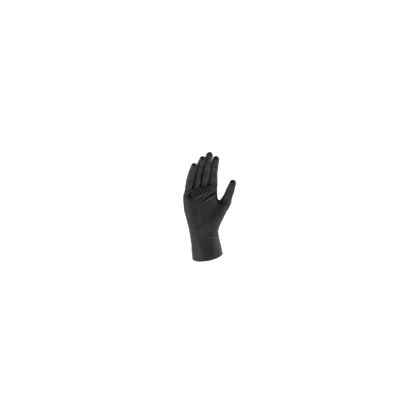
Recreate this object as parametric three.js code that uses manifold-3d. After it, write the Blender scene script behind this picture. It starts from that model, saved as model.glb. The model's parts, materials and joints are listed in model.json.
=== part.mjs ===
// A disposable nitrile glove, in the shape that it takes on a right hand.
// Millimetres. +Z runs up the cuff, -Y is the palm side and +X is the thumb side. The origin is the
// centre of the cuff's opening, where a wrist goes in.
//
// The real film is one dipped skin with a rolled rim. Here each stretch of skin between two creases is a
// shell of its own, because it turns with its own bone, and the shells are open into one another.

import * as THREE from "three";
import { mergeVertices } from "three/addons/utils/BufferGeometryUtils.js";
import Module from "manifold-3d";

const wasm = await Module();
wasm.setup();

// ---- Driving dimensions ----------------------------------------------------------------------------

const WALL = 0.9; // shell thickness that stands for the 0.12 mm film
const GAP = 0.4; // clear air between two neighbouring shells
const WRIST_HEIGHT = 56.5; // the wrist's crease above the rim
const RIM_RADIUS = 1.5; // of the rolled bead's section
const RIM_HALF_WIDTH = 35.4;
const RIM_HALF_DEPTH = 31;
const FINGER_DEPTH = 0.93; // a finger's depth over its width
const AXIS_OFFSET = 0.25; // how far a knuckle's axis lies towards the palm, in half depths
const PALM_SQUARENESS = 0.82; // below 1 the oval's sides are fuller
const NECK_LENGTH = 16; // of the palm's neck below each finger
const FINGER_CLEARANCE = 0.8; // how far round a digit the palm is cut back for it
const THUMB_CLEARANCE = 4;
const THUMB_FLEXES_TO = [-0.35, -1, 0]; // the way that the thumb swings, out in front of the palm
const FINGER_SIDES = 20;
const PALM_SIDES = 36;
const BEAD_SIDES = 12;
const TIP_RINGS = 5;
const OVERRUN = 14; // how far a skin runs on past its creases, so that they can cut it

const WRIST_BEND = { flex: 40, extend: 35 };
const KNUCKLE_BENDS = [
  { flex: 60, extend: 20 },
  { flex: 70, extend: 10 },
  { flex: 45, extend: 8 },
];
const THUMB_BENDS = [
  { flex: 40, extend: 12 },
  { flex: 60, extend: 15 },
];

// Where each finger leaves the palm, how far it leans to the thumb side, how far each stretch is bent
// forward from upright, how long each stretch is, and the half width at each knuckle and at the tip.
const FINGERS = {
  index: {
    root: [44.6, 8, 158],
    lean: 8.2,
    bends: [6, 20, 34],
    lengths: [26, 23, 20],
    halfWidths: [10, 9.6, 8.7, 7.5],
  },
  middle: {
    root: [22.9, 10, 161],
    lean: 10.3,
    bends: [8, 24, 38],
    lengths: [30, 28, 26],
    halfWidths: [10, 9.4, 8.6, 7.6],
  },
  ring: {
    root: [2.2, 9, 160],
    lean: 13.4,
    bends: [7, 23, 38],
    lengths: [28.5, 27, 24.5],
    halfWidths: [9.4, 8.6, 7.8, 7],
  },
  little: {
    root: [-18.2, 5, 161],
    lean: 14.5,
    bends: [7, 20, 32],
    lengths: [22.5, 21, 23.5],
    halfWidths: [8.4, 7.8, 7.1, 6.4],
  },
};

// The ball of the thumb, from the wrist's crease up to the web beside the index finger.
const THUMB_BALL = [
  { at: [15.5, -4, 60.5], halfWidth: 14.5, halfDepth: 15 },
  { at: [29, -5, 80], halfWidth: 16.2, halfDepth: 16 },
  { at: [43, -5, 97], halfWidth: 17.8, halfDepth: 15 },
  { at: [51.5, -3.5, 106.5], halfWidth: 19, halfDepth: 12.5 },
];

// The thumb's axis from its root crease to its tip, with the half width at each point.
const THUMB_LINE = [
  { at: [64.3, -2, 111.7], halfWidth: 11.8 },
  { at: [76.6, -8, 136.5], halfWidth: 9.9 },
  { at: [86.4, -15, 159.8], halfWidth: 7.6 },
];

// Level sections of the hand, from the wrist's crease to the foot of the fingers.
const PALM_SECTIONS = [
  { z: 56.5, ulnar: -33, radial: 33.3, palmar: -20.5, dorsal: 20.5 },
  { z: 78, ulnar: -32.6, radial: 37, palmar: -19, dorsal: 19.5 },
  { z: 98, ulnar: -34.4, radial: 43, palmar: -16, dorsal: 18.5 },
  { z: 122, ulnar: -35.4, radial: 47, palmar: -12, dorsal: 20 },
  { z: 143, ulnar: -32.5, radial: 50.7, palmar: -8, dorsal: 21.5 },
  { z: 154, ulnar: -28, radial: 52.6, palmar: -4, dorsal: 20 },
];
const CUFF_SECTIONS = [
  { z: RIM_RADIUS, halfWidth: RIM_HALF_WIDTH, halfDepth: RIM_HALF_DEPTH },
  { z: 25, halfWidth: 34, halfDepth: 25.5 },
  { z: WRIST_HEIGHT, halfWidth: 33.3, halfDepth: 20.5 },
];

// ---- Materials -------------------------------------------------------------------------------------

const nitrile = new THREE.MeshStandardMaterial({
  color: 0x2b2b2d,
  roughness: 0.5,
  metalness: 0,
});
const rolledNitrile = new THREE.MeshStandardMaterial({
  color: 0x1c1c1e,
  roughness: 0.42,
  metalness: 0,
});

// ---- Solids ----------------------------------------------------------------------------------------

const X = new THREE.Vector3(1, 0, 0);
const Y = new THREE.Vector3(0, 1, 0);
const Z = new THREE.Vector3(0, 0, 1);
const radians = THREE.MathUtils.degToRad;
const vector = (xyz) => new THREE.Vector3(...xyz);

// A closed skin through rings of points, with a flat fan over each end.
function skinOver(rings) {
  const sides = rings[0].length;
  const positions = rings.flat();
  const middleOf = (ring) =>
    ring.reduce((sum, p) => sum.add(p), new THREE.Vector3()).divideScalar(sides);
  const foot = positions.push(middleOf(rings[0])) - 1;
  const head = positions.push(middleOf(rings.at(-1))) - 1;
  const index = [];
  for (let side = 0; side < sides; side++) {
    const next = (side + 1) % sides;
    index.push(foot, next, side);
    for (let level = 0; level < rings.length - 1; level++) {
      const low = level * sides;
      const high = low + sides;
      index.push(low + side, low + next, high + next);
      index.push(low + side, high + next, high + side);
    }
    const top = (rings.length - 1) * sides;
    index.push(head, top + side, top + next);
  }
  const geometry = new THREE.BufferGeometry().setFromPoints(positions);
  geometry.setIndex(index);
  return geometry;
}

// One oval ring. Its points run anticlockwise seen from the far end of the skin.
function oval({ centre, across, through, halfWidth, halfDepth }, sides, squareness = 1) {
  const round = (x) => Math.sign(x) * Math.abs(x) ** squareness;
  return Array.from({ length: sides }, (_, side) => {
    const turn = (2 * Math.PI * side) / sides;
    return centre
      .clone()
      .addScaledVector(across, halfWidth * round(Math.cos(turn)))
      .addScaledVector(through, halfDepth * round(Math.sin(turn)));
  });
}

function solidFrom(geometry) {
  const bare = geometry.clone();
  bare.deleteAttribute("normal");
  bare.deleteAttribute("uv");
  const merged = mergeVertices(bare, 1e-4);
  return new wasm.Manifold(
    new wasm.Mesh({
      numProp: 3,
      vertProperties: new Float32Array(merged.attributes.position.array),
      triVerts: new Uint32Array(merged.index.array),
    }),
  );
}

function geometryFrom(solid) {
  const { vertProperties, triVerts } = solid.getMesh();
  const geometry = new THREE.BufferGeometry();
  geometry.setAttribute("position", new THREE.BufferAttribute(vertProperties, 3));
  geometry.setIndex(new THREE.BufferAttribute(triVerts, 1));
  geometry.computeVertexNormals();
  return geometry;
}

function mesh(name, solid, material = nitrile) {
  const made = new THREE.Mesh(geometryFrom(solid), material);
  made.name = name;
  return made;
}

// ---- Creases: where one shell ends and the next begins ----------------------------------------------

// A crease is a hinge line. along points out to the far shell and palmar to the palm side.
function crease(centre, axis, along, halfDepth, bend) {
  const palmar = new THREE.Vector3().crossVectors(axis, along).normalize();
  const onAxis = centre.clone().addScaledVector(palmar, AXIS_OFFSET * halfDepth);
  return { at: onAxis, axis, along, palmar, bend };
}

// The prism that cuts a shell off at a crease. Each of the two shells is cut back by half of every bend,
// so that they only meet at its limit. side is 1 to cut the near end off the far shell, and -1 to cut
// the far end off the near one.
function endCut({ at, axis, along, palmar, bend }, side, reach = 150) {
  const slope = (degrees) => (GAP / 2 + reach * Math.tan(radians(degrees / 2))) * side;
  const outline = new THREE.Shape([
    new THREE.Vector2((side * GAP) / 2, 0),
    new THREE.Vector2(slope(bend.flex), reach),
    new THREE.Vector2(-side * reach, reach),
    new THREE.Vector2(-side * reach, -reach),
    new THREE.Vector2(slope(bend.extend), -reach),
  ]);
  const prism = new THREE.ExtrudeGeometry(outline, { depth: 2 * reach, bevelEnabled: false });
  const place = new THREE.Matrix4().makeBasis(along, palmar, axis);
  place.setPosition(at.clone().addScaledVector(axis, -reach));
  return solidFrom(prism.applyMatrix4(place));
}

// ---- Fingers ---------------------------------------------------------------------------------------

// The hinge axis across a finger: level, and square to the way that the finger leans.
function axisOf(lean) {
  return X.clone().applyAxisAngle(Y, radians(lean));
}

function directionOf(lean, bend) {
  return Z.clone().applyAxisAngle(Y, radians(lean)).applyAxisAngle(axisOf(lean), radians(bend));
}

// Rings along a digit's axis, each square to the bisector of the two stretches that meet there.
function stations(points, directions, axis, halfWidths) {
  return points.map((centre, i) => {
    const before = directions[Math.max(0, i - 1)];
    const after = directions[Math.min(i, directions.length - 1)];
    const along = before.clone().add(after).normalize();
    const through = new THREE.Vector3().crossVectors(along, axis).normalize();
    const across = new THREE.Vector3().crossVectors(through, along).normalize();
    const halfWidth = halfWidths[i];
    return { centre, along, across, through, halfWidth, halfDepth: halfWidth * FINGER_DEPTH };
  });
}

// The oval ring at a station, taken in by inset and moved along the digit.
function ringAt(station, inset = 0, shift = 0) {
  return oval(
    {
      ...station,
      centre: station.centre.clone().addScaledVector(station.along, shift),
      halfWidth: station.halfWidth - inset,
      halfDepth: station.halfDepth - inset,
    },
    FINGER_SIDES,
  );
}

// The stretch between two stations, run on past both of its ends so that a crease can cut it.
function stretchSkin(from, to, inset) {
  return skinOver([
    ringAt(from, inset, -OVERRUN),
    ringAt(from, inset),
    ringAt(to, inset),
    ringAt(to, inset, OVERRUN),
  ]);
}

// The last stretch, closed by a round end that is as long as the digit's half width there. The round end
// stops a part of a ring short of its pole, and a flat fan closes it.
const POLE_SHARE = 0.4;
function tipSkin(from, to, inset) {
  const dome = to.halfWidth;
  const rings = [ringAt(from, inset, -OVERRUN), ringAt(from, inset)];
  for (let ring = 0; ring <= TIP_RINGS; ring++) {
    const turn = (Math.PI / 2) * (ring / (TIP_RINGS + POLE_SHARE));
    const share = Math.cos(turn);
    const rise = (dome - inset) * Math.sin(turn) - dome;
    rings.push(
      oval(
        {
          ...to,
          centre: to.centre.clone().addScaledVector(to.along, rise),
          halfWidth: (to.halfWidth - inset) * share,
          halfDepth: (to.halfDepth - inset) * share,
        },
        FINGER_SIDES,
      ),
    );
  }
  return skinOver(rings);
}

function digit(points, directions, axis, halfWidths, bends) {
  const rings = stations(points, directions, axis, halfWidths);
  const creases = bends.map((bend, i) =>
    crease(rings[i].centre, axis, rings[i].along, rings[i].halfDepth, bend),
  );
  const sections = bends.map((_, i) => {
    const last = i === bends.length - 1;
    const skin = last ? tipSkin : stretchSkin;
    const outer = solidFrom(skin(rings[i], rings[i + 1], 0));
    const inner = solidFrom(skin(rings[i], rings[i + 1], WALL));
    const open = outer.subtract(inner).subtract(endCut(creases[i], 1));
    return last ? open : open.subtract(endCut(creases[i + 1], -1));
  });
  return { rings, creases, sections };
}

function fingerFrom({ root, lean, bends, lengths, halfWidths }) {
  const directions = bends.map((bend) => directionOf(lean, bend));
  const points = [vector(root)];
  directions.forEach((direction, i) =>
    points.push(points[i].clone().addScaledVector(direction, lengths[i])),
  );
  return digit(points, directions, axisOf(lean), halfWidths, KNUCKLE_BENDS);
}

// The thumb bends across the palm, about an axis square to its own length.
function thumbFrom(line) {
  const points = line.map(({ at }) => vector(at));
  const halfWidths = line.map(({ halfWidth }) => halfWidth);
  const directions = [points[1].clone().sub(points[0]), points[2].clone().sub(points[1])];
  directions.forEach((direction) => direction.normalize());
  const axis = new THREE.Vector3().crossVectors(directions[0], vector(THUMB_FLEXES_TO)).normalize();
  return digit(points, directions, axis, halfWidths, THUMB_BENDS);
}

// ---- Palm and cuff ---------------------------------------------------------------------------------

function levelRing({ z, ulnar, radial, palmar, dorsal }, inset, squareness) {
  return oval(
    {
      centre: new THREE.Vector3((ulnar + radial) / 2, (palmar + dorsal) / 2, z),
      across: X,
      through: Y,
      halfWidth: (radial - ulnar) / 2 - inset,
      halfDepth: (dorsal - palmar) / 2 - inset,
    },
    PALM_SIDES,
    squareness,
  );
}

// The palm's own skin, run on below the wrist's crease. Its top is closed by WALL when inset.
function palmSkin(inset) {
  const top = PALM_SECTIONS.at(-1);
  const sections = [
    { ...PALM_SECTIONS[0], z: WRIST_HEIGHT - OVERRUN },
    ...PALM_SECTIONS.slice(0, -1),
    { ...top, z: top.z - inset },
  ];
  return solidFrom(skinOver(sections.map((section) => levelRing(section, inset, PALM_SQUARENESS))));
}

// The ball of the thumb and a little past it. Its rings are all square to the thumb's own root.
function thumbBallSkin(thumbRoot, inset) {
  const ball = THUMB_BALL.map(({ at, ...size }) =>
    ringAt({ ...thumbRoot, ...size, centre: vector(at) }, inset),
  );
  return solidFrom(
    skinOver([...ball, ringAt(thumbRoot, inset), ringAt(thumbRoot, inset, OVERRUN)]),
  );
}

// The short neck of the palm under a finger, run on past the finger's root crease.
function neckSkin(root, inset) {
  const depth = NECK_LENGTH - inset;
  return solidFrom(skinOver([ringAt(root, inset, -depth), ringAt(root, inset, OVERRUN)]));
}

function joined(solids) {
  return solids.reduce((sum, solid) => sum.add(solid));
}

function palmShell(fingers, thumb, wrist) {
  const filled = (inset) =>
    joined([
      palmSkin(inset),
      thumbBallSkin(thumb.rings[0], inset),
      ...fingers.map(({ rings }) => neckSkin(rings[0], inset)),
    ]);
  const cuts = [
    ...fingers.map((finger) => rootCut(finger, FINGER_CLEARANCE)),
    rootCut(thumb, THUMB_CLEARANCE),
  ];
  const shell = filled(0).subtract(filled(WALL));
  return [endCut(wrist, 1), ...cuts].reduce((left, cut) => left.subtract(cut), shell);
}

// What a digit's root crease cuts off the palm. It cuts no further than clearance from the digit, so that
// it leaves the other digits alone.
function rootCut({ creases, rings }, clearance) {
  const [root] = rings;
  const reach = skinOver([
    ringAt(root, -clearance, -NECK_LENGTH),
    ringAt(root, -clearance, OVERRUN + clearance),
  ]);
  return endCut(creases[0], -1).intersect(solidFrom(reach));
}

function cuffShell(wrist) {
  const ring = ({ z, halfWidth, halfDepth }, inset) =>
    levelRing(
      { z, ulnar: -halfWidth, radial: halfWidth, palmar: -halfDepth, dorsal: halfDepth },
      inset,
      1,
    );
  const above = { ...CUFF_SECTIONS.at(-1), z: WRIST_HEIGHT + OVERRUN };
  const foot = { ...CUFF_SECTIONS[0], z: 2 * RIM_RADIUS + GAP };
  const below = { ...foot, z: foot.z - OVERRUN };
  const sections = [foot, ...CUFF_SECTIONS.slice(1), above];
  const outer = solidFrom(skinOver(sections.map((section) => ring(section, 0))));
  const inner = solidFrom(skinOver([below, ...sections].map((section) => ring(section, WALL))));
  return outer.subtract(inner).subtract(endCut(wrist, -1));
}

// The rolled rim: a round bead along the oval of the opening, standing a little proud of the cuff.
const BEAD_STANDS_OUT = 0.6;
function bead() {
  const halfWidth = RIM_HALF_WIDTH - RIM_RADIUS + BEAD_STANDS_OUT;
  const halfDepth = RIM_HALF_DEPTH - RIM_RADIUS + BEAD_STANDS_OUT;
  const positions = [];
  const index = [];
  for (let step = 0; step < PALM_SIDES; step++) {
    const turn = (2 * Math.PI * step) / PALM_SIDES;
    const centre = new THREE.Vector3(halfWidth * Math.cos(turn), halfDepth * Math.sin(turn), RIM_RADIUS);
    const outward = new THREE.Vector3(
      halfDepth * Math.cos(turn),
      halfWidth * Math.sin(turn),
      0,
    ).normalize();
    for (let side = 0; side < BEAD_SIDES; side++) {
      const roll = (2 * Math.PI * side) / BEAD_SIDES;
      positions.push(
        centre
          .clone()
          .addScaledVector(outward, RIM_RADIUS * Math.cos(roll))
          .addScaledVector(Z, RIM_RADIUS * Math.sin(roll)),
      );
      const here = step * BEAD_SIDES;
      const there = ((step + 1) % PALM_SIDES) * BEAD_SIDES;
      const next = (side + 1) % BEAD_SIDES;
      index.push(here + side, there + side, there + next);
      index.push(here + side, there + next, here + next);
    }
  }
  const geometry = new THREE.BufferGeometry().setFromPoints(positions);
  geometry.setIndex(index);
  return solidFrom(geometry);
}

// ---- Assembly --------------------------------------------------------------------------------------

const wrist = crease(new THREE.Vector3(0, 0, WRIST_HEIGHT), X, Z, 0, WRIST_BEND);
const fingers = Object.fromEntries(
  Object.entries(FINGERS).map(([name, finger]) => [name, fingerFrom(finger)]),
);
const thumb = thumbFrom(THUMB_LINE);

const glove = new THREE.Group();
glove.add(mesh("cuff_bead", bead(), rolledNitrile));
glove.add(mesh("cuff", cuffShell(wrist)));
glove.add(mesh("palm", palmShell(Object.values(fingers), thumb, wrist)));
const STRETCHES = ["root", "mid", "tip"];
for (const [name, { sections }] of Object.entries(fingers)) {
  sections.forEach((section, i) => glove.add(mesh(`${name}_${STRETCHES[i]}`, section)));
}
glove.add(mesh("thumb_root", thumb.sections[0]));
glove.add(mesh("thumb_tip", thumb.sections[1]));

export default glove;
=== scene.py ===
"""A disposable nitrile glove as it is worn on a right hand: one thin black film with a rolled rim.

The film is made as one surface, in millimetres, and then cut into pieces for the CAD bodies. The palm and
cuff pieces ride on their bodies; the bends planned for the others are not made, so they ride on no body.
Every cut runs where both of its pieces would follow the same body.
"""

import json
import math
from itertools import product

import bpy
import numpy as np
from mathutils import Matrix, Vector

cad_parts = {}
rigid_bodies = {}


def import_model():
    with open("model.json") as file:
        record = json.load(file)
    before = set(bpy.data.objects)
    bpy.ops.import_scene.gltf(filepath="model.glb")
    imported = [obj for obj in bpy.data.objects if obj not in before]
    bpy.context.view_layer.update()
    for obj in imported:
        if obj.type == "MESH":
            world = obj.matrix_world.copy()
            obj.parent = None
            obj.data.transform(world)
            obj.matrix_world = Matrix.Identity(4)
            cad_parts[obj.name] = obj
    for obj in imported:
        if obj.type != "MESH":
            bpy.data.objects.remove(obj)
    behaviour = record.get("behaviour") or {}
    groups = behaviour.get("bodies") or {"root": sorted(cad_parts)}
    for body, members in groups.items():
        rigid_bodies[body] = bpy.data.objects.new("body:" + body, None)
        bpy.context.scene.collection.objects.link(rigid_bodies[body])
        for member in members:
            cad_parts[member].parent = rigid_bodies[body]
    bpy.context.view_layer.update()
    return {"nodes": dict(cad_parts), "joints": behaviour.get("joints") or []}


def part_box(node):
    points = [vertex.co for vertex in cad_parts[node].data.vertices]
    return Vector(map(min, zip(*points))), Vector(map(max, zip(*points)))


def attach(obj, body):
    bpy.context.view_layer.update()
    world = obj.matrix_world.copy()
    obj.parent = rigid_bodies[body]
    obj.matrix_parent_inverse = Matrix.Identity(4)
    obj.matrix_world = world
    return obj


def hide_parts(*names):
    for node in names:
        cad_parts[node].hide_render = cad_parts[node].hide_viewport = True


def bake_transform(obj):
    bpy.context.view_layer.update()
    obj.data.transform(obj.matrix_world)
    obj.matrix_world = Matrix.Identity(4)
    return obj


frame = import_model()

MM = 1000.0  # millimetres in a metre
CELL = 0.9  # size of the film's mesh
SIDEWAYS = 1.5  # the mesh is this much finer across the hand, where the gaps between the fingers are
FILM = 0.3  # thickness of the film's mesh, which stands for 0.12 mm

# ---- The view that the folds are placed in, and that the camera takes -------------------------------

AZIMUTH = math.radians(-25)
ELEVATION = math.radians(17)
ROLL = math.radians(9)

BACK = np.array(
    [
        math.sin(AZIMUTH) * math.cos(ELEVATION),
        -math.cos(AZIMUTH) * math.cos(ELEVATION),
        math.sin(ELEVATION),
    ]
)
RIGHT = np.array([math.cos(AZIMUTH), math.sin(AZIMUTH), 0.0])
UP = np.cross(BACK, RIGHT)

# ---- The hand's shape ------------------------------------------------------------------------------

# Level sections from below the rim to the foot of the fingers: height, the outer and the thumb side,
# the palm side and the back, and how square the oval is (2 is an ellipse).
SECTIONS = np.array(
    [
        [-8.0, -35.6, 35.6, -31.6, 31.6, 2.0],
        [2.0, -35.3, 35.3, -30.6, 30.6, 2.0],
        [25.0, -34.0, 34.0, -25.5, 25.5, 2.0],
        [42.0, -33.3, 33.4, -22.2, 22.2, 2.0],
        [56.5, -32.9, 33.2, -20.3, 20.5, 2.1],
        [78.0, -32.4, 37.0, -18.6, 19.5, 2.3],
        [98.0, -34.2, 42.5, -15.8, 18.8, 2.2],
        [122.0, -35.5, 46.8, -12.4, 20.0, 2.15],
        [143.0, -32.8, 50.3, -8.7, 20.5, 2.2],
        [160.0, -27.0, 52.6, -4.0, 19.5, 2.4],
    ]
)
PALM_TOP = 160.0  # the palm is closed here, under the fingers
PALM_TOP_ROUND = 12.0  # how softly its top edge is rounded

# The ball of the thumb and the ball of the palm's outer edge: points with their radii.
THUMB_BALL = [
    ((15.5, -4.0, 62.0), 14.0),
    ((29.0, -5.0, 80.0), 16.0),
    ((43.5, -5.0, 96.5), 16.6),
    ((56.0, -3.5, 104.8), 13.6),
    ((64.8, -2.0, 111.2), 11.0),
]
OUTER_BALL = [((-16.5, -5.0, 70.0), 14.5), ((-19.5, -4.5, 104.0), 13.2), ((-20.5, -2.5, 138.0), 11.0)]
BALL_DEPTH = 0.76  # a ball's depth over its width
THUMB_BALL_BLEND = 13.0  # how softly each ball melts into the palm
OUTER_BALL_BLEND = 10.0

FINGER_DEPTH = 0.93
HINGE_OFFSET = 0.25  # how far a hinge lies to the palm side of its digit's middle, in half depths
KNUCKLE_BACK = 18.0  # from a finger's root crease down to the knuckle in the hand
KNUCKLE_LIFT = 1.2  # how far the knuckle lies to the back of the finger's middle
KNUCKLE_TAPER = 0.78  # the knuckle's half width over the root's
# Each digit's stretches, its half width at each hinge and at the tip, and how it melts into the palm.
DIGITS = {
    "index": {"stretches": ("root", "mid", "tip"), "radii": (10.6, 9.9, 9.3, 7.8), "web": 4.5},
    "middle": {"stretches": ("root", "mid", "tip"), "radii": (10.3, 9.25, 8.7, 7.8), "web": 4.5},
    "ring": {"stretches": ("root", "mid", "tip"), "radii": (9.4, 8.4, 7.7, 7.0), "web": 4.5},
    "little": {"stretches": ("root", "mid", "tip"), "radii": (8.4, 7.8, 7.1, 6.4), "web": 4.5},
    "thumb": {"stretches": ("root", "tip"), "radii": (10.8, 9.9, 7.6), "web": 8.0},
}
JOINTS = {joint["name"]: joint for joint in frame["joints"]}


def unit(vector):
    return vector / np.linalg.norm(vector)


def smoothstep(low, high, x):
    t = np.clip((x - low) / (high - low), 0.0, 1.0)
    return t * t * (3 - 2 * t)


def read_digit(name, stretches, radii, web):
    """A digit's hinges, the directions of its bones and its middle line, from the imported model."""
    nodes = [f"{name}_{stretch}" for stretch in stretches]
    hinges = [np.array(JOINTS[node]["pos_m"]) * MM for node in nodes]
    axis = unit(np.array(JOINTS[nodes[0]]["axis"]))
    last = np.array([v.co for v in frame["nodes"][nodes[-1]].data.vertices]) * MM
    pole = last[np.argmax(np.linalg.norm(last - hinges[-1], axis=1))]
    ends = [*hinges, pole]
    bones = [unit(ends[i + 1] - ends[i]) for i in range(len(hinges))]
    bisectors = [unit(bones[max(i - 1, 0)] + bones[i]) for i in range(len(hinges))]
    dorsals = [unit(np.cross(bisector, axis)) for bisector in bisectors]
    line = [
        hinge + dorsal * HINGE_OFFSET * FINGER_DEPTH * radius
        for hinge, dorsal, radius in zip(hinges, dorsals, radii)
    ]
    line.append(pole - unit(pole - line[-1]) * radii[-1])
    return {
        "name": name,
        "nodes": nodes,
        "hinges": hinges,
        "axis": axis,
        "bones": bones,
        "bisectors": bisectors,
        "dorsals": dorsals,
        "line": line,
        "radii": radii,
        "web": web,
    }


digits = [read_digit(name, **facts) for name, facts in DIGITS.items()]


def smooth_min(a, b, blend):
    h = np.maximum(blend - np.abs(a - b), 0.0) / blend
    return np.minimum(a, b) - h * h * blend / 4


def hermite(x, knots, values):
    """A smooth curve through values at knots."""
    slopes = np.gradient(values, knots)
    i = np.clip(np.searchsorted(knots, x) - 1, 0, len(knots) - 2)
    span = knots[i + 1] - knots[i]
    t = np.clip((x - knots[i]) / span, 0.0, 1.0)
    return (
        (1 + 2 * t) * (1 - t) ** 2 * values[i]
        + t * (1 - t) ** 2 * span * slopes[i]
        + t * t * (3 - 2 * t) * values[i + 1]
        + t * t * (t - 1) * span * slopes[i + 1]
    )


def tube(points, a, b, radius_a, radius_b, through, depth):
    """Distance outside a tapering tube from a to b with round ends, flattened along through."""
    length = np.linalg.norm(b - a)
    along = (b - a) / length
    away = points - a
    t = np.clip(away @ along / length, 0.0, 1.0)
    away = away - np.outer(t * length, along)
    away = away + np.outer(away @ through * (1 / depth - 1), through)
    return np.linalg.norm(away, axis=1) - radius_a - (radius_b - radius_a) * t


def chain(points, stations, through, depth):
    """Distance outside tubes through stations, each a point and a radius."""
    return np.minimum.reduce(
        [
            tube(points, np.array(a), np.array(b), radius_a, radius_b, through, depth)
            for (a, radius_a), (b, radius_b) in zip(stations, stations[1:])
        ]
    )


ROOT_SWING = 2.4  # how far the fingers' feet swing to the outer side of the hand
ROOT_SWING_HEIGHT = 157.0  # the swing is widest at this height
ROOT_SWING_SPREAD = 10.0  # and fades out over about this much above and below
LOOSE = 0.45  # the film stands this far off the palm
FAR = 60.0  # stands for any distance too large to matter
REACH = 12.0  # how far round a digit its own distance matters
BALL_REACH = 32.0  # and how far round the middle line of a ball


def near(points, places, reach):
    """Which points lie within reach of the box round places."""
    low = np.min(places, axis=0) - reach
    high = np.max(places, axis=0) + reach
    return np.all((points > low) & (points < high), axis=1)


def digit_stations(digit):
    root = digit["line"][0]
    radius = digit["radii"][0]
    stations = list(zip(digit["line"], digit["radii"]))
    if digit["name"] == "thumb":
        return stations
    knuckle = root - digit["bones"][0] * KNUCKLE_BACK + digit["dorsals"][0] * KNUCKLE_LIFT
    return [(knuckle, radius * KNUCKLE_TAPER), *stations]


def digit_field(points, digit):
    stations = digit_stations(digit)
    field = np.full(len(points), FAR)
    here = near(points, [place for place, _ in stations], REACH + digit["radii"][0])
    if here.any():
        field[here] = chain(points[here], stations, digit["dorsals"][-1], FINGER_DEPTH)
    return field


def palm_field(points):
    """Distance outside the cuff and palm, with the balls of the thumb and of the outer edge."""
    x, y, z = points.T
    outer, inner, palmar, dorsal, squareness = [
        hermite(z, SECTIONS[:, 0], column) for column in SECTIONS[:, 1:].T
    ]
    across = x - (outer + inner) / 2
    through = y - (palmar + dorsal) / 2
    half_width = (inner - outer) / 2
    half_depth = (dorsal - palmar) / 2
    share = (
        np.abs(across / half_width) ** squareness + np.abs(through / half_depth) ** squareness
    ) ** (1 / squareness)
    field = np.hypot(across, through) * (1 - 1 / np.maximum(share, 1e-3))
    field = -smooth_min(-field, PALM_TOP - z, PALM_TOP_ROUND)
    forward = np.array([0.0, -1.0, 0.0])
    for ball, blend in ((THUMB_BALL, THUMB_BALL_BLEND), (OUTER_BALL, OUTER_BALL_BLEND)):
        here = near(points, [place for place, _ in ball], BALL_REACH)
        if here.any():
            bulge = chain(points[here], ball, forward, BALL_DEPTH)
            field[here] = smooth_min(field[here], bulge, blend)
    return field - LOOSE * smoothstep(0.0, 20.0, z)


def hand_field(points):
    """Distance outside the whole hand. Fingers melt into the palm but never into each other."""
    x, _, z = points.T
    between = smoothstep(-28.0, -16.0, x) * smoothstep(52.0, 42.0, x)
    swing = ROOT_SWING * between * np.exp(-(((z - ROOT_SWING_HEIGHT) / ROOT_SWING_SPREAD) ** 2))
    points = points + np.outer(swing, [1.0, 0.0, 0.0])
    palm = palm_field(points)
    return np.minimum.reduce(
        [smooth_min(palm, digit_field(points, digit), digit["web"]) for digit in digits]
    )


# ---- One surface round the shape -------------------------------------------------------------------


def sample_field(low, counts, step):
    """The field on a grid, worked out in slabs so that it needs little memory."""
    xs, ys, zs = [low[i] + np.arange(counts[i]) * step[i] for i in range(3)]
    field = np.empty(counts)
    slab = 24
    for start in range(0, counts[2], slab):
        levels = zs[start : start + slab]
        grid = np.stack(np.meshgrid(xs, ys, levels, indexing="ij"), axis=-1)
        values = hand_field(grid.reshape(-1, 3))
        field[:, :, start : start + slab] = values.reshape(grid.shape[:3])
    return field


def surface_net(field, low, step):
    """Quads round the grid edges where the field changes sign. Each crossed cell gives one point."""
    inside = field < 0
    cells = np.array(inside.shape) - 1
    corners = sum(
        inside[i : i + cells[0], j : j + cells[1], k : k + cells[2]].astype(int)
        for i, j, k in product((0, 1), repeat=3)
    )
    crossed = (corners > 0) & (corners < 8)
    number = np.full(crossed.shape, -1)
    number[crossed] = np.arange(crossed.sum())
    points = low + (np.argwhere(crossed) + 0.5) * step
    quads = []
    for axis in range(3):
        side, other = (axis + 1) % 3, (axis + 2) % 3
        first = inside[tuple(slice(0, -1) if i == axis else slice(None) for i in range(3))]
        second = inside[tuple(slice(1, None) if i == axis else slice(None) for i in range(3))]
        edges = np.argwhere(first != second)
        kept = (edges[:, side] > 0) & (edges[:, other] > 0)
        kept &= (edges[:, side] < cells[side]) & (edges[:, other] < cells[other])
        edges = edges[kept]
        back, down = np.zeros(3, int), np.zeros(3, int)
        back[side] = 1
        down[other] = 1
        ring = [edges, edges - back, edges - back - down, edges - down]
        quad = np.stack([number[tuple(corner.T)] for corner in ring], axis=1)
        leaves = first[tuple(edges.T)]
        quads.append(np.where(leaves[:, None], quad, quad[:, ::-1]))
    return points, np.concatenate(quads)


def settle(points):
    """Moves points straight onto the surface."""
    probe = 0.05
    for _ in range(2):
        here = hand_field(points)
        slope = np.stack(
            [(hand_field(points + probe * row) - here) / probe for row in np.eye(3)], axis=1
        )
        size = np.maximum((slope**2).sum(axis=1), 0.2)
        points = points - slope * np.clip(here / size, -CELL, CELL)[:, None]
    return points


def relax(points, quads, passes):
    """Evens out the mesh along the surface."""
    a = quads.ravel()
    b = np.roll(quads, -1, axis=1).ravel()
    starts, ends = np.concatenate([a, b]), np.concatenate([b, a])
    count = np.maximum(np.bincount(starts, minlength=len(points)), 1)
    for _ in range(passes):
        total = np.stack(
            [
                np.bincount(starts, weights=points[ends, i], minlength=len(points))
                for i in range(3)
            ],
            axis=1,
        )
        points = settle(points + 0.7 * (total / count[:, None] - points))
    return points


def vertex_normals(points, quads):
    corners = points[quads]
    faces = np.cross(corners[:, 2] - corners[:, 0], corners[:, 3] - corners[:, 1])
    normals = np.stack(
        [
            np.bincount(quads.ravel(), weights=np.repeat(faces[:, i], 4), minlength=len(points))
            for i in range(3)
        ],
        axis=1,
    )
    return normals / np.maximum(np.linalg.norm(normals, axis=1), 1e-9)[:, None]


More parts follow.
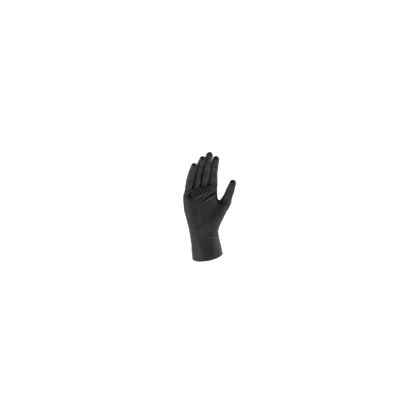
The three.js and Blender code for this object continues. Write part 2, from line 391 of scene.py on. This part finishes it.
RIM_CUT = 1.3  # the film ends here, inside the rolled rim
GRID_LOW = np.array([-42.0, -38.0, -4.0])  # a box that holds the whole glove
GRID_HIGH = np.array([98.0, 38.0, 244.0])
RELAX_PASSES = 4

step = np.array([CELL / SIDEWAYS, CELL, CELL])
counts = np.ceil((GRID_HIGH - GRID_LOW) / step).astype(int) + 1
points, quads = surface_net(sample_field(GRID_LOW, counts, step), GRID_LOW, step)
points = relax(points, quads, RELAX_PASSES)
quads = quads[points[quads][:, :, 2].mean(axis=1) > RIM_CUT]
normals = vertex_normals(points, quads)

# ---- Folds and creases -----------------------------------------------------------------------------

# Folds on the palm side: their lines in millimetres across and up the view, their width and depth.
# A fold with a negative depth stands up as a ridge.
PALM_FOLDS = [
    ([(-13, 136.5), (-9, 137.5), (-4.5, 138.8), (1.5, 140.5), (7, 144), (14, 147.5)], 0.95, 0.8),
    ([(-8, 130.5), (0.5, 135.4), (8, 136.6), (13, 137.4), (19, 141), (25, 146)], 1.5, -1.0),
    (
        [(3, 124), (9, 126), (16.5, 128.6), (22, 131.2), (27, 133.6), (32, 136), (38, 138), (52, 140)],
        2.0,
        2.2,
    ),
    ([(24, 132), (31, 136), (38, 139), (48, 141)], 3.0, 0.9),
    ([(8, 118), (17, 121), (26, 124.5), (34, 127)], 1.8, 0.3),
    ([(-29, 150.6), (-20, 151.4), (-15, 153.5), (-11, 158)], 1.2, 1.5),
    ([(-32, 158), (-24, 155), (-18, 156)], 1.4, -0.7),
    ([(4, 160), (4.3, 155), (5, 150)], 1.3, 1.3),
    ([(-14, 148), (-9, 148.6), (-4, 150)], 1.1, -0.6),
    ([(-8, 155), (-4, 155.5), (0, 154.5)], 1.2, -0.8),
    ([(24, 160), (21, 154), (18, 150)], 1.3, 0.9),
    ([(9, 152), (14, 153), (18, 156)], 1.4, -0.6),
    ([(-33, 131), (-25, 131.5), (-17, 135)], 2.2, 0.25),
    ([(46, 119), (45, 114), (44, 107)], 0.9, 0.6),
    ([(50.5, 117.5), (50, 112), (50, 108)], 0.9, 0.4),
    ([(41.5, 117), (40.5, 112), (39, 107)], 0.9, 0.35),
    ([(53, 112), (58, 113), (64, 111)], 1.3, 0.4),
    ([(-27, 69), (-18, 70.5), (-8, 74), (2, 77)], 2.6, 0.6),
    ([(-14, 78), (-4, 80), (6, 81)], 2.6, 0.25),
    ([(38, 96), (41, 91), (45, 88)], 1.2, 0.3),
    ([(34, 90), (37, 86), (41, 83)], 1.2, 0.3),
    ([(31, 85), (34, 81), (38, 78)], 1.1, 0.25),
    ([(28, 79), (31, 76), (35, 73)], 1.1, 0.25),
    ([(-32, 42), (-18, 41.5), (-6, 43.5)], 1.2, 0.8),
    ([(-32, 46.5), (-18, 46), (-8, 47)], 1.7, -0.5),
    ([(-8, 40), (0, 40.5), (8, 39)], 1.4, 0.35),
    ([(-28, 55), (-16, 54.5), (-4, 57)], 1.8, 0.3),
    ([(-29, 12), (-22, 8), (-14, 9)], 1.5, 0.3),
    ([(-28, 6), (-20, 3), (-10, 3.5)], 1.3, 0.3),
]
LIP = 0.4  # height of a fold's raised lips over its depth
LIP_AWAY = 2.1  # from a fold's line to its lips, in fold widths

# The fan of short folds below the ring finger.
FAN_MIDDLE = (1.5, 140.5)  # across and up the view
FAN_SLOPE = math.radians(22)
FAN_BOW = 0.0105  # how far its folds curve, per square millimetre of run
FAN_SPACING = 4.9
FAN_DEPTH = 1.15

WRIST_FOLD_SPACING = 5.5
WRIST_FOLD_HEIGHT = 47.6  # up the view to the crest of one fold
WRIST_FOLD_DEPTH = 1.4


def fold(across, up, line, width, depth):
    """A groove with raised lips along a line, fading out at both ends."""
    line = np.array(line, float)
    lengths = np.linalg.norm(np.diff(line, axis=0), axis=1)
    before = np.concatenate([[0.0], np.cumsum(lengths)])
    best = np.full(len(across), 1e9)
    done = np.zeros(len(across))
    for a, b, length, start in zip(line, line[1:], lengths, before):
        along = (b - a) / length
        t = np.clip((across - a[0]) * along[0] + (up - a[1]) * along[1], 0.0, length)
        away = np.hypot(across - a[0] - t * along[0], up - a[1] - t * along[1])
        closer = away < best
        best = np.where(closer, away, best)
        done = np.where(closer, (start + t) / before[-1], done)
    fade = smoothstep(0.0, 0.25, done) * smoothstep(1.0, 0.75, done)
    groove = np.exp(-((best / width) ** 2))
    lips = np.exp(-(((best - LIP_AWAY * width) / width) ** 2))
    return depth * fade * (LIP * lips - groove)


def ripple(places, size, seed, stretch=(1, 1, 1), waves=28):
    """Smooth seeded noise, about -1 to 1, with features of that size in millimetres."""
    random = np.random.default_rng(seed)
    ways = random.normal(size=(waves, 3))
    ways /= np.linalg.norm(ways, axis=1)[:, None]
    ways *= (math.tau / size) * random.uniform(0.6, 1.4, (waves, 1)) / np.array(stretch)
    phases = random.uniform(0, math.tau, waves)
    return np.sin(places @ ways.T + phases).sum(axis=1) / math.sqrt(waves)


def fan(across, up):
    """The fan of short folds below the ring finger, fading out at its edges."""
    right, high = across - FAN_MIDDLE[0], up - FAN_MIDDLE[1]
    run = right * math.cos(FAN_SLOPE) + high * math.sin(FAN_SLOPE)
    rise = high * math.cos(FAN_SLOPE) - right * math.sin(FAN_SLOPE) - FAN_BOW * run**2
    share = smoothstep(-3.5, -1.5, rise) * smoothstep(14.0, 10.5, rise)
    share *= smoothstep(-16.0, -11.0, run) * smoothstep(14.0, 8.0, run)
    return -share * np.cos(math.tau * rise / FAN_SPACING)


def digit_share(places, digit):
    """1 on a digit, fading to 0 down its root."""
    rise = (places - digit["hinges"][0]) @ digit["bones"][0]
    return (digit_field(places, digit) < 3.0) * smoothstep(-6.0, 6.0, rise)


def creases(places, facing):
    """How far the film's small folds stand out, and how much of it is a digit's."""
    across, up = places @ RIGHT, places @ UP
    front = smoothstep(0.12, 0.55, facing @ BACK)
    palm_side = smoothstep(-0.1, 0.6, -facing[:, 1])
    back_side = smoothstep(-0.1, 0.6, facing[:, 1])
    height = places[:, 2]
    wander = 0.5 * ripple(places, 16.0, 1)
    lifted = up + 0.5 * ripple(places, 9.0, 2)
    out = np.zeros(len(places))
    for line, width, depth in PALM_FOLDS:
        out += front * fold(across + wander, lifted, line, width, depth)
    out += FAN_DEPTH * front * fan(across + wander, up)
    on_digits = np.zeros(len(places))
    for digit in digits:
        share = digit_share(places, digit)
        on_digits = np.maximum(on_digits, share)
        sideways = smoothstep(0.55, 0.9, np.abs(facing @ digit["axis"]))
        out += digit_relief(places, digit, palm_side, back_side) * share * (1 - sideways)
    # Wrinkles where the wrist is pushed together, deepest on the thumb side.
    at_wrist = smoothstep(37, 42, up) * smoothstep(54, 50, up) * smoothstep(5, 12, across)
    at_wrist *= smoothstep(-1.1, 0.2, facing @ BACK)
    wave = np.cos(math.tau * (up - WRIST_FOLD_HEIGHT + wander) / WRIST_FOLD_SPACING)
    out += at_wrist * (0.75 + 0.25 * smoothstep(14, 22, across)) * (WRIST_FOLD_DEPTH * wave - 0.3)
    band = smoothstep(38, 46, height) * smoothstep(64, 54, height)
    pushed = ripple(places, 7.0, 7, stretch=(5, 5, 1))
    pushed = pushed + 0.6 * ripple(places, 4.5, 8, stretch=(3, 3, 1))
    out += 0.24 * band * (1 - front) * pushed
    return out, on_digits


def swells(places, facing, on_digits):
    """How far the film's broad unevenness stands out from the smooth hand."""
    palm_side = smoothstep(-0.1, 0.6, -facing[:, 1])
    back_side = smoothstep(-0.1, 0.6, facing[:, 1])
    height = places[:, 2]
    hollow = np.exp(-(((places[:, 0] - 6) / 16) ** 2) - ((height - 112) / 24) ** 2)
    out = 0.22 * ripple(places, 24.0, 3) * (1 - on_digits) - 0.5 * palm_side * hollow
    # Soft upright folds in the loose cuff.
    turn = np.arctan2(places[:, 1], places[:, 0])
    loose = smoothstep(46, 20, height) * smoothstep(1, 8, height)
    folds = 0.5 * np.sin(3 * turn + 0.03 * height + 0.6) + 0.35 * np.sin(7 * turn - 0.05 * height)
    out += 0.45 * loose * folds
    out += 0.16 * loose * ripple(places, 8.0, 5, stretch=(1, 1, 4))
    # Tendons and slack folds on the back of the hand.
    back_of_hand = back_side * smoothstep(66, 84, height) * smoothstep(158, 140, height)
    for digit in digits[:4]:
        root = digit["line"][0]
        spread = 0.55 + 0.45 * (height - 66) / (root[2] - 66)
        line = root[0] * spread + 4.0 * (1 - spread)
        out += 0.6 * back_of_hand * np.exp(-(((places[:, 0] - line) / 3.8) ** 2))
    return out + 0.25 * back_of_hand * ripple(places, 11.0, 6, stretch=(2.5, 1, 1))


def digit_relief(places, digit, palm_side, back_side):
    """Creases at a digit's hinges, its pads between them, and the film's mottle on it."""
    out = 0.15 * ripple(places, 4.4, 11) + 0.12 * ripple(places, 8.0, 12, stretch=(1, 1, 2.5))
    for i, (hinge, bisector) in enumerate(zip(digit["hinges"], digit["bisectors"])):
        rise = (places - hinge) @ bisector + 0.5 * ripple(places, 6.0, 13 + i)
        if i > 0:
            grooves = np.exp(-((rise / 0.9) ** 2)) + 0.6 * np.exp(-(((rise - 3.2) / 0.8) ** 2))
            out -= 0.34 * palm_side * grooves
            knuckle = np.exp(-((rise / 5.5) ** 2))
            out += 0.25 * back_side * knuckle * np.sin(math.tau * rise / 3.0)
        else:
            out -= 0.2 * palm_side * np.exp(-(((rise + 1.0) / 1.1) ** 2))
    ends = [*digit["hinges"], digit["line"][-1]]
    for a, b in zip(ends, ends[1:]):
        middle = (a + b) / 2
        length = np.linalg.norm(b - a)
        pad = np.exp(-((((places - middle) @ unit(b - a)) / (0.36 * length)) ** 2))
        out += 0.5 * palm_side * pad - 0.25 * back_side * pad
    return out


creased, on_digits = creases(points, normals)
lift = creased + swells(points, normals, on_digits)
film = points + normals * lift[:, None]
film_normals = vertex_normals(film, quads)

# ---- Pieces ----------------------------------------------------------------------------------------

# Along each bone from its hinge: where a film piece begins to bend, where it has bent, and so on.
ROOT_CUT = 0.0
ROOT_BEND_FROM = 3.5
ROOT_BEND_TO = 0.62  # of the bone's length
MIDDLE_BEND = 0.26  # of the bone's length, each way from the hinge
TIP_BEND = 5.5  # millimetres each way from the hinge
THUMB_TIP_BEND = 8.0
DIGIT_SKIN = 3.5  # film within this of a digit's own shape can be the digit's
WRIST_CUTS = (41.0, 72.0)
WRIST_BEND = (43.0, 70.0)

PALM, WRIST, CUFF = 0, 1, 2
centres = film[quads].mean(axis=1)
labels = np.full(len(quads), PALM)
labels[centres[:, 2] < WRIST_CUTS[1]] = WRIST
labels[centres[:, 2] < WRIST_CUTS[0]] = CUFF
# A piece: its name, the CAD nodes that it stands for, and the body it rides on or the bend planned for
# it.
plans = [
    ("palm_film", ["palm"], "hand"),
    (
        "wrist_film",
        ["palm", "cuff"],
        ("cuff", "hand", np.array([0, 0, WRIST_BEND[0]]), np.array([0, 0, WRIST_BEND[1]])),
    ),
    ("cuff_film", ["cuff"], "cuff"),
]


def bends_of(digit):
    """Where each of a digit's pieces bends, and the planes between the pieces."""
    hinges, bones, bisectors = digit["hinges"], digit["bones"], digit["bisectors"]
    lengths = [np.linalg.norm(b - a) for a, b in zip(hinges, hinges[1:])]
    reach = [0.0, MIDDLE_BEND * lengths[0], TIP_BEND]
    if digit["name"] == "thumb":
        reach[1] = THUMB_TIP_BEND
    bent = ROOT_BEND_TO * lengths[0]
    bends = [(hinges[0] + bones[0] * ROOT_BEND_FROM, hinges[0] + bones[0] * ROOT_BEND_TO * lengths[0])]
    cuts = [(hinges[0] + bones[0] * ROOT_CUT, bones[0])]
    for i in range(1, len(hinges)):
        bends.append((hinges[i] - bisectors[i] * reach[i], hinges[i] + bisectors[i] * reach[i]))
        middle = (bent + lengths[i - 1] - reach[i]) / 2
        cuts.append((hinges[i - 1] + bones[i - 1] * middle, bones[i - 1]))
        bent = reach[i]
    return bends, cuts


for digit in digits:
    bends, cuts = bends_of(digit)
    owned = digit_field(centres, digit) < DIGIT_SKIN
    for other in digits:
        owned &= digit_field(centres, digit) <= digit_field(centres, other)
    for i, node in enumerate(digit["nodes"]):
        place, way = cuts[i]
        owned &= (centres - place) @ way > 0
        labels[owned] = len(plans)
        parent = JOINTS[node]["parent"]
        plans.append((f"{node}_film", [node], (parent, node, *bends[i])))


def mesh_object(name, vertices, faces, loop_normals, attributes, material):
    """A smooth mesh in metres, with its normals and its point attributes."""
    mesh = bpy.data.meshes.new(name)
    mesh.from_pydata((vertices / MM).tolist(), [], faces.tolist())
    mesh.polygons.foreach_set("use_smooth", np.ones(len(faces), bool))
    for key, values in attributes.items():
        kind, field = ("FLOAT_VECTOR", "vector") if values.ndim == 2 else ("FLOAT", "value")
        mesh.attributes.new(key, kind, "POINT").data.foreach_set(
            field, values.astype(np.float32).ravel()
        )
    mesh.update()
    if loop_normals is not None:
        mesh.normals_split_custom_set(loop_normals.tolist())
    mesh.materials.append(material)
    made = bpy.data.objects.new(name, mesh)
    bpy.context.scene.collection.objects.link(made)
    return made


def film_piece(name, faces, material):
    """One piece of film: its outer skin, its inner skin and the thin walls round its edges."""
    used, inverse = np.unique(faces, return_inverse=True)
    faces = inverse.reshape(faces.shape)
    outer = film[used]
    skin = film_normals[used]
    edges = np.stack([faces, np.roll(faces, -1, axis=1)], axis=-1).reshape(-1, 2)
    forward = edges[:, 0] * len(used) + edges[:, 1]
    backward = edges[:, 1] * len(used) + edges[:, 0]
    a, b = edges[~np.isin(forward, backward)].T
    n = len(used)
    walls = np.stack([b, a, a + n, b + n], axis=1)
    vertices = np.concatenate([outer, outer - skin * FILM])
    every = np.concatenate([faces, faces[:, ::-1] + n, walls])
    corners = vertices[walls]
    flat = np.cross(corners[:, 2] - corners[:, 0], corners[:, 3] - corners[:, 1])
    flat /= np.maximum(np.linalg.norm(flat, axis=1), 1e-9)[:, None]
    loop_normals = np.concatenate(
        [
            skin[faces.ravel()],
            -skin[faces[:, ::-1].ravel()],
            np.repeat(flat, 4, axis=0),
        ]
    )
    attributes = {
        "place": np.concatenate([points[used]] * 2),
        "on_digit": np.concatenate([on_digits[used]] * 2),
        "standing": np.concatenate([creased[used]] * 2),
    }
    return mesh_object(name, vertices, every, loop_normals, attributes, material)


# ---- Materials -------------------------------------------------------------------------------------


class Nodes:
    """A short way to write a material's nodes."""

    def __init__(self, name):
        self.material = bpy.data.materials.new(name)
        self.material.use_nodes = True
        self.tree = self.material.node_tree
        self.shader = self.tree.nodes["Principled BSDF"]

    def add(self, kind, inputs=None, **settings):
        node = self.tree.nodes.new(kind)
        for key, value in settings.items():
            setattr(node, key, value)
        for key, value in (inputs or {}).items():
            self.put(node.inputs[key], value)
        return node

    def put(self, socket, value):
        if isinstance(value, bpy.types.NodeSocket):
            self.tree.links.new(value, socket)
        else:
            socket.default_value = value

    def math(self, operation, a, b=0.0):
        return self.add("ShaderNodeMath", {0: a, 1: b}, operation=operation).outputs[0]

    def attribute(self, name, output="Fac"):
        return self.add("ShaderNodeAttribute", attribute_name=name).outputs[output]

    def noise(self, vector, scale, detail=2.0, rough=0.5):
        return self.add(
            "ShaderNodeTexNoise",
            {"Vector": vector, "Scale": scale, "Detail": detail, "Roughness": rough},
        ).outputs["Fac"]

    def stretched(self, vector, scale):
        return self.add(
            "ShaderNodeMapping", {"Vector": vector, "Scale": scale}, vector_type="POINT"
        ).outputs[0]

    def range(self, value, low, high, to_low, to_high):
        return self.add(
            "ShaderNodeMapRange",
            {"Value": value, "From Min": low, "From Max": high, "To Min": to_low, "To Max": to_high},
        ).outputs[0]

    def mix(self, share, a, b):
        node = self.add("ShaderNodeMix", data_type="RGBA")
        self.put(node.inputs[0], share)
        self.put(node.inputs[6], a)
        self.put(node.inputs[7], b)
        return node.outputs[2]

    def bump(self, height, distance, normal=None):
        inputs = {"Height": height, "Distance": distance / MM, "Strength": 1.0}
        if normal is not None:
            inputs["Normal"] = normal
        return self.add("ShaderNodeBump", inputs).outputs[0]


def nitrile():
    """Black nitrile film: satin, grained on the digits. Its colour holds painted shade, blacker in a
    fold's groove, and is greyer on a fold's ridge, partly thinner stretched film and partly painted
    highlight.
    """
    n = Nodes("nitrile_film")
    place = n.attribute("place", "Vector")
    standing = n.attribute("standing")
    on_digit = n.attribute("on_digit")
    cloud = n.noise(place, 0.045, 3.0)
    speckle = n.noise(place, 0.34, 2.0, 0.6)
    # painted shade: a fold's groove is coloured blacker than the film, standing for the shade in it
    painted_groove_shade = (0.0015, 0.0014, 0.0014, 1)
    black = (0.0082, 0.0082, 0.0088, 1)
    # a fold's ridge is coloured greyer: partly thinner stretched film, partly painted highlight
    stretched_grey_and_highlight = (0.06, 0.0595, 0.0605, 1)
    colour = n.mix(n.range(standing, -1.4, 0.0, 0.0, 1.0), painted_groove_shade, black)
    colour = n.mix(n.range(standing, 0.3, 1.0, 0.0, 1.0), colour, stretched_grey_and_highlight)
    warm = (0.014, 0.0105, 0.009, 1)
    colour = n.mix(n.range(cloud, 0.5, 0.72, 0.0, 0.45), colour, warm)
    dots = n.range(speckle, 0.5, 0.7, 0.0, 1.0)
    speckled = n.math("MULTIPLY", dots, n.range(on_digit, 0.0, 1.0, 0.25, 0.85))
    pale = (0.026, 0.026, 0.027, 1)
    colour = n.mix(speckled, colour, pale)
    n.put(n.shader.inputs["Base Color"], colour)
    fine = n.range(speckle, 0.3, 0.7, -0.03, 0.04)
    rough = n.math("ADD", n.range(cloud, 0.3, 0.7, 0.44, 0.52), fine)
    rough = n.math("ADD", rough, n.math("MULTIPLY", on_digit, 0.03))
    n.put(n.shader.inputs["Roughness"], rough)
    n.shader.inputs["IOR"].default_value = 1.5
    n.shader.inputs["Specular IOR Level"].default_value = 0.34
    n.shader.inputs["Coat Weight"].default_value = 0.06
    n.shader.inputs["Coat Roughness"].default_value = 0.3
    grip = n.add(
        "ShaderNodeTexVoronoi",
        {"Vector": place, "Scale": 0.85, "Smoothness": 0.6},
        feature="SMOOTH_F1",
    ).outputs["Distance"]
    grip = n.math("MULTIPLY", n.math("SUBTRACT", 0.6, grip), n.math("MULTIPLY", on_digit, 0.09))
    flow = n.noise(n.stretched(place, (0.35, 0.35, 0.12)), 1.0, 3.0, 0.55)
    creased = n.noise(n.stretched(place, (0.09, 0.12, 0.42)), 1.0, 3.0, 0.6)
    grain = n.noise(place, 2.4, 3.0, 0.6)
    height = n.math("ADD", grip, n.math("MULTIPLY", grain, 0.035))
    height = n.math("ADD", height, n.math("MULTIPLY", flow, 0.25))
    height = n.math("ADD", height, n.math("MULTIPLY", creased, 0.3))
    n.put(n.shader.inputs["Normal"], n.bump(height, 1.0))
    return n.material


def rolled_nitrile():
    """The rolled rim: the same film in several layers, so blacker and smoother, with fine roll lines."""
    n = Nodes("nitrile_rim")
    place = n.attribute("place", "Vector")
    cloud = n.noise(n.stretched(place, (0.12, 0.5, 0.5)), 1.0, 3.0)
    black = (0.007, 0.007, 0.0075, 1)
    dark_grey = (0.016, 0.016, 0.017, 1)
    colour = n.mix(n.range(cloud, 0.3, 0.7, 0.0, 1.0), black, dark_grey)
    n.put(n.shader.inputs["Base Color"], colour)
    n.put(n.shader.inputs["Roughness"], n.range(cloud, 0.3, 0.7, 0.34, 0.46))
    n.shader.inputs["IOR"].default_value = 1.5
    n.shader.inputs["Coat Weight"].default_value = 0.15
    n.shader.inputs["Coat Roughness"].default_value = 0.25
    rolls = n.noise(n.stretched(place, (0.1, 2.2, 1.0)), 1.0, 2.0)
    puckers = n.noise(n.stretched(place, (0.9, 0.25, 1.0)), 1.0, 2.0)
    height = n.math("ADD", n.math("MULTIPLY", rolls, 0.16), n.math("MULTIPLY", puckers, 0.22))
    n.put(n.shader.inputs["Normal"], n.bump(height, 1.0))
    return n.material


film_material = nitrile()
for label, (name, nodes, moves) in enumerate(plans):
    piece = film_piece(name, quads[labels == label], film_material)
    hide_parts(*nodes)
    if isinstance(moves, str):
        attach(piece, moves)
    else:
        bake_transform(piece)

# ---- The rolled rim --------------------------------------------------------------------------------

RIM_STEPS = 288
RIM_SIDES = 18
rim_low, rim_high = [np.array(corner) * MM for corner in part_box("cuff_bead")]
RIM_RADIUS = (rim_high[2] - rim_low[2]) / 2
RIM_HALF = (rim_high[:2] - rim_low[:2]) / 2 - RIM_RADIUS


def rolled_rim(material):
    """A bead along the opening: its section is a little out of round, and uneven along its length."""
    turns = np.arange(RIM_STEPS) * math.tau / RIM_STEPS
    wobble = 0.5 * np.sin(5 * turns + 1) + 0.3 * np.sin(11 * turns) + 0.2 * np.sin(23 * turns + 2)
    middle = np.stack(
        [
            RIM_HALF[0] * np.cos(turns),
            RIM_HALF[1] * np.sin(turns),
            np.full(RIM_STEPS, RIM_RADIUS) + 0.08 * wobble,
        ],
        axis=1,
    )
    outward = np.stack([RIM_HALF[1] * np.cos(turns), RIM_HALF[0] * np.sin(turns)], axis=1)
    outward /= np.linalg.norm(outward, axis=1)[:, None]
    arc = np.concatenate([[0.0], np.cumsum(np.linalg.norm(np.diff(middle, axis=0), axis=1))])
    rings = []
    places = []
    for side in range(RIM_SIDES):
        roll = side * math.tau / RIM_SIDES
        radius = RIM_RADIUS * (0.93 + 0.05 * math.cos(roll - 2.2) + 0.02 * wobble)
        ring = middle.copy()
        ring[:, :2] += outward * (radius * math.cos(roll))[:, None]
        ring[:, 2] += radius * math.sin(roll)
        rings.append(ring)
        around = np.full(RIM_STEPS, roll * RIM_RADIUS)
        places.append(np.stack([arc, around, np.zeros(RIM_STEPS)], axis=1))
    vertices = np.stack(rings, axis=1).reshape(-1, 3)
    place = np.stack(places, axis=1).reshape(-1, 3)
    step_of, side_of = np.divmod(np.arange(len(vertices)), RIM_SIDES)
    here = step_of * RIM_SIDES
    there = (step_of + 1) % RIM_STEPS * RIM_SIDES
    after = (side_of + 1) % RIM_SIDES
    faces = np.stack([here + side_of, there + side_of, there + after, here + after], axis=1)
    return mesh_object("cuff_bead_roll", vertices, faces, None, {"place": place}, material)


rim = rolled_rim(rolled_nitrile())
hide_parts("cuff_bead")
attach(rim, "cuff")

# ---- Floor, light and camera -----------------------------------------------------------------------

FLOOR_RADIUS = 0.9
FLOOR_SIDES = 96
FLOOR_DROP = 0.0004  # the floor lies this far below the rim
BACKDROP = 1.05  # what the camera sees behind the glove
LIGHT_DISTANCE = 1.3
LIGHT_AIM = np.array([0, 0, 0.12])  # the glove's middle
LENS = 85
SENSOR = 36
CAMERA_DISTANCE = 2.199
CAMERA_AIM = (-1.35, 110.9)  # to the right and up the leaning view, in millimetres
SKY = [(0.0, 0.4), (0.5, 0.4), (0.58, 0.36), (0.75, 0.18), (0.95, 0.08)]  # share of the way up, and light


def floor():
    """A round sheet of white paper under the rim."""
    n = Nodes("floor_paper")
    place = n.add("ShaderNodeTexCoord").outputs["Object"]
    grain = n.noise(place, 60.0, 4.0)
    n.put(n.shader.inputs["Base Color"], n.mix(grain, (0.93, 0.93, 0.93, 1), (0.96, 0.96, 0.96, 1)))
    n.shader.inputs["Roughness"].default_value = 0.9
    n.shader.inputs["Emission Color"].default_value = (1, 1, 1, 1)
    n.shader.inputs["Emission Strength"].default_value = 0.8
    turns = [i * math.tau / FLOOR_SIDES for i in range(FLOOR_SIDES)]
    edge = [(FLOOR_RADIUS * math.cos(turn), FLOOR_RADIUS * math.sin(turn), 0) for turn in turns]
    mesh = bpy.data.meshes.new("floor")
    mesh.from_pydata(edge, [], [list(range(FLOOR_SIDES))])
    mesh.materials.append(n.material)
    made = bpy.data.objects.new("floor", mesh)
    made.location.z = -FLOOR_DROP
    bpy.context.scene.collection.objects.link(made)


def light(name, azimuth, elevation, size, power):
    """A soft box that faces the glove's middle. Azimuth is counted from the camera's."""
    azimuth = AZIMUTH + math.radians(azimuth)
    elevation = math.radians(elevation)
    way = np.array(
        [
            math.sin(azimuth) * math.cos(elevation),
            -math.cos(azimuth) * math.cos(elevation),
            math.sin(elevation),
        ]
    )
    lamp = bpy.data.lights.new(name, "AREA")
    lamp.shape = "RECTANGLE"
    lamp.size, lamp.size_y = size
    lamp.energy = power
    side = unit(np.cross([0, 0, 1], way))
    made = bpy.data.objects.new(name, lamp)
    made.matrix_world = Matrix.Translation(way * LIGHT_DISTANCE + LIGHT_AIM) @ Matrix(
        np.stack([side, np.cross(way, side), way], axis=1)
    ).to_4x4()
    bpy.context.scene.collection.objects.link(made)


def surroundings():
    """A white backdrop to the camera. To everything else it is a dim light, dimmest overhead."""
    world = bpy.data.worlds.new("studio")
    world.use_nodes = True
    tree = world.node_tree
    way = tree.nodes.new("ShaderNodeTexCoord")
    split = tree.nodes.new("ShaderNodeSeparateXYZ")
    height = tree.nodes.new("ShaderNodeMapRange")
    height.inputs["From Min"].default_value = -1
    ramp = tree.nodes.new("ShaderNodeValToRGB")
    tree.links.new(way.outputs["Generated"], split.inputs[0])
    tree.links.new(split.outputs["Z"], height.inputs["Value"])
    tree.links.new(height.outputs[0], ramp.inputs["Fac"])
    for i, (where, level) in enumerate(SKY):
        stop = ramp.color_ramp.elements[i] if i < 2 else ramp.color_ramp.elements.new(where)
        stop.position = where
        stop.color = (level, level, level, 1)
    ray = tree.nodes.new("ShaderNodeLightPath")
    seen = tree.nodes.new("ShaderNodeMix")
    seen.data_type = "RGBA"
    tree.links.new(ray.outputs["Is Camera Ray"], seen.inputs[0])
    tree.links.new(ramp.outputs["Color"], seen.inputs[6])
    seen.inputs[7].default_value = (BACKDROP, BACKDROP, BACKDROP, 1)
    tree.links.new(seen.outputs[2], tree.nodes["Background"].inputs["Color"])
    bpy.context.scene.world = world


def camera():
    """The camera at the viewing angle, leaning so that the cuff stands a little to the left."""
    right = math.cos(ROLL) * RIGHT - math.sin(ROLL) * UP
    up = math.sin(ROLL) * RIGHT + math.cos(ROLL) * UP
    target = (right * CAMERA_AIM[0] + up * CAMERA_AIM[1]) / MM
    made = bpy.data.objects.new("camera", bpy.data.cameras.new("camera"))
    made.data.lens = LENS
    made.data.sensor_width = SENSOR
    made.matrix_world = Matrix.Translation(target + BACK * CAMERA_DISTANCE) @ Matrix(
        np.stack([right, up, BACK], axis=1)
    ).to_4x4()
    bpy.context.scene.collection.objects.link(made)
    bpy.context.scene.camera = made


bpy.context.scene.view_settings.view_transform = "Standard"
floor()
light("left_softbox", -56, 16, (1.2, 1.2), 11)
light("left_rim_softbox", -135, 10, (0.7, 1.0), 5)
light("right_softbox", 106, 8, (0.6, 1.2), 9)
surroundings()
camera()
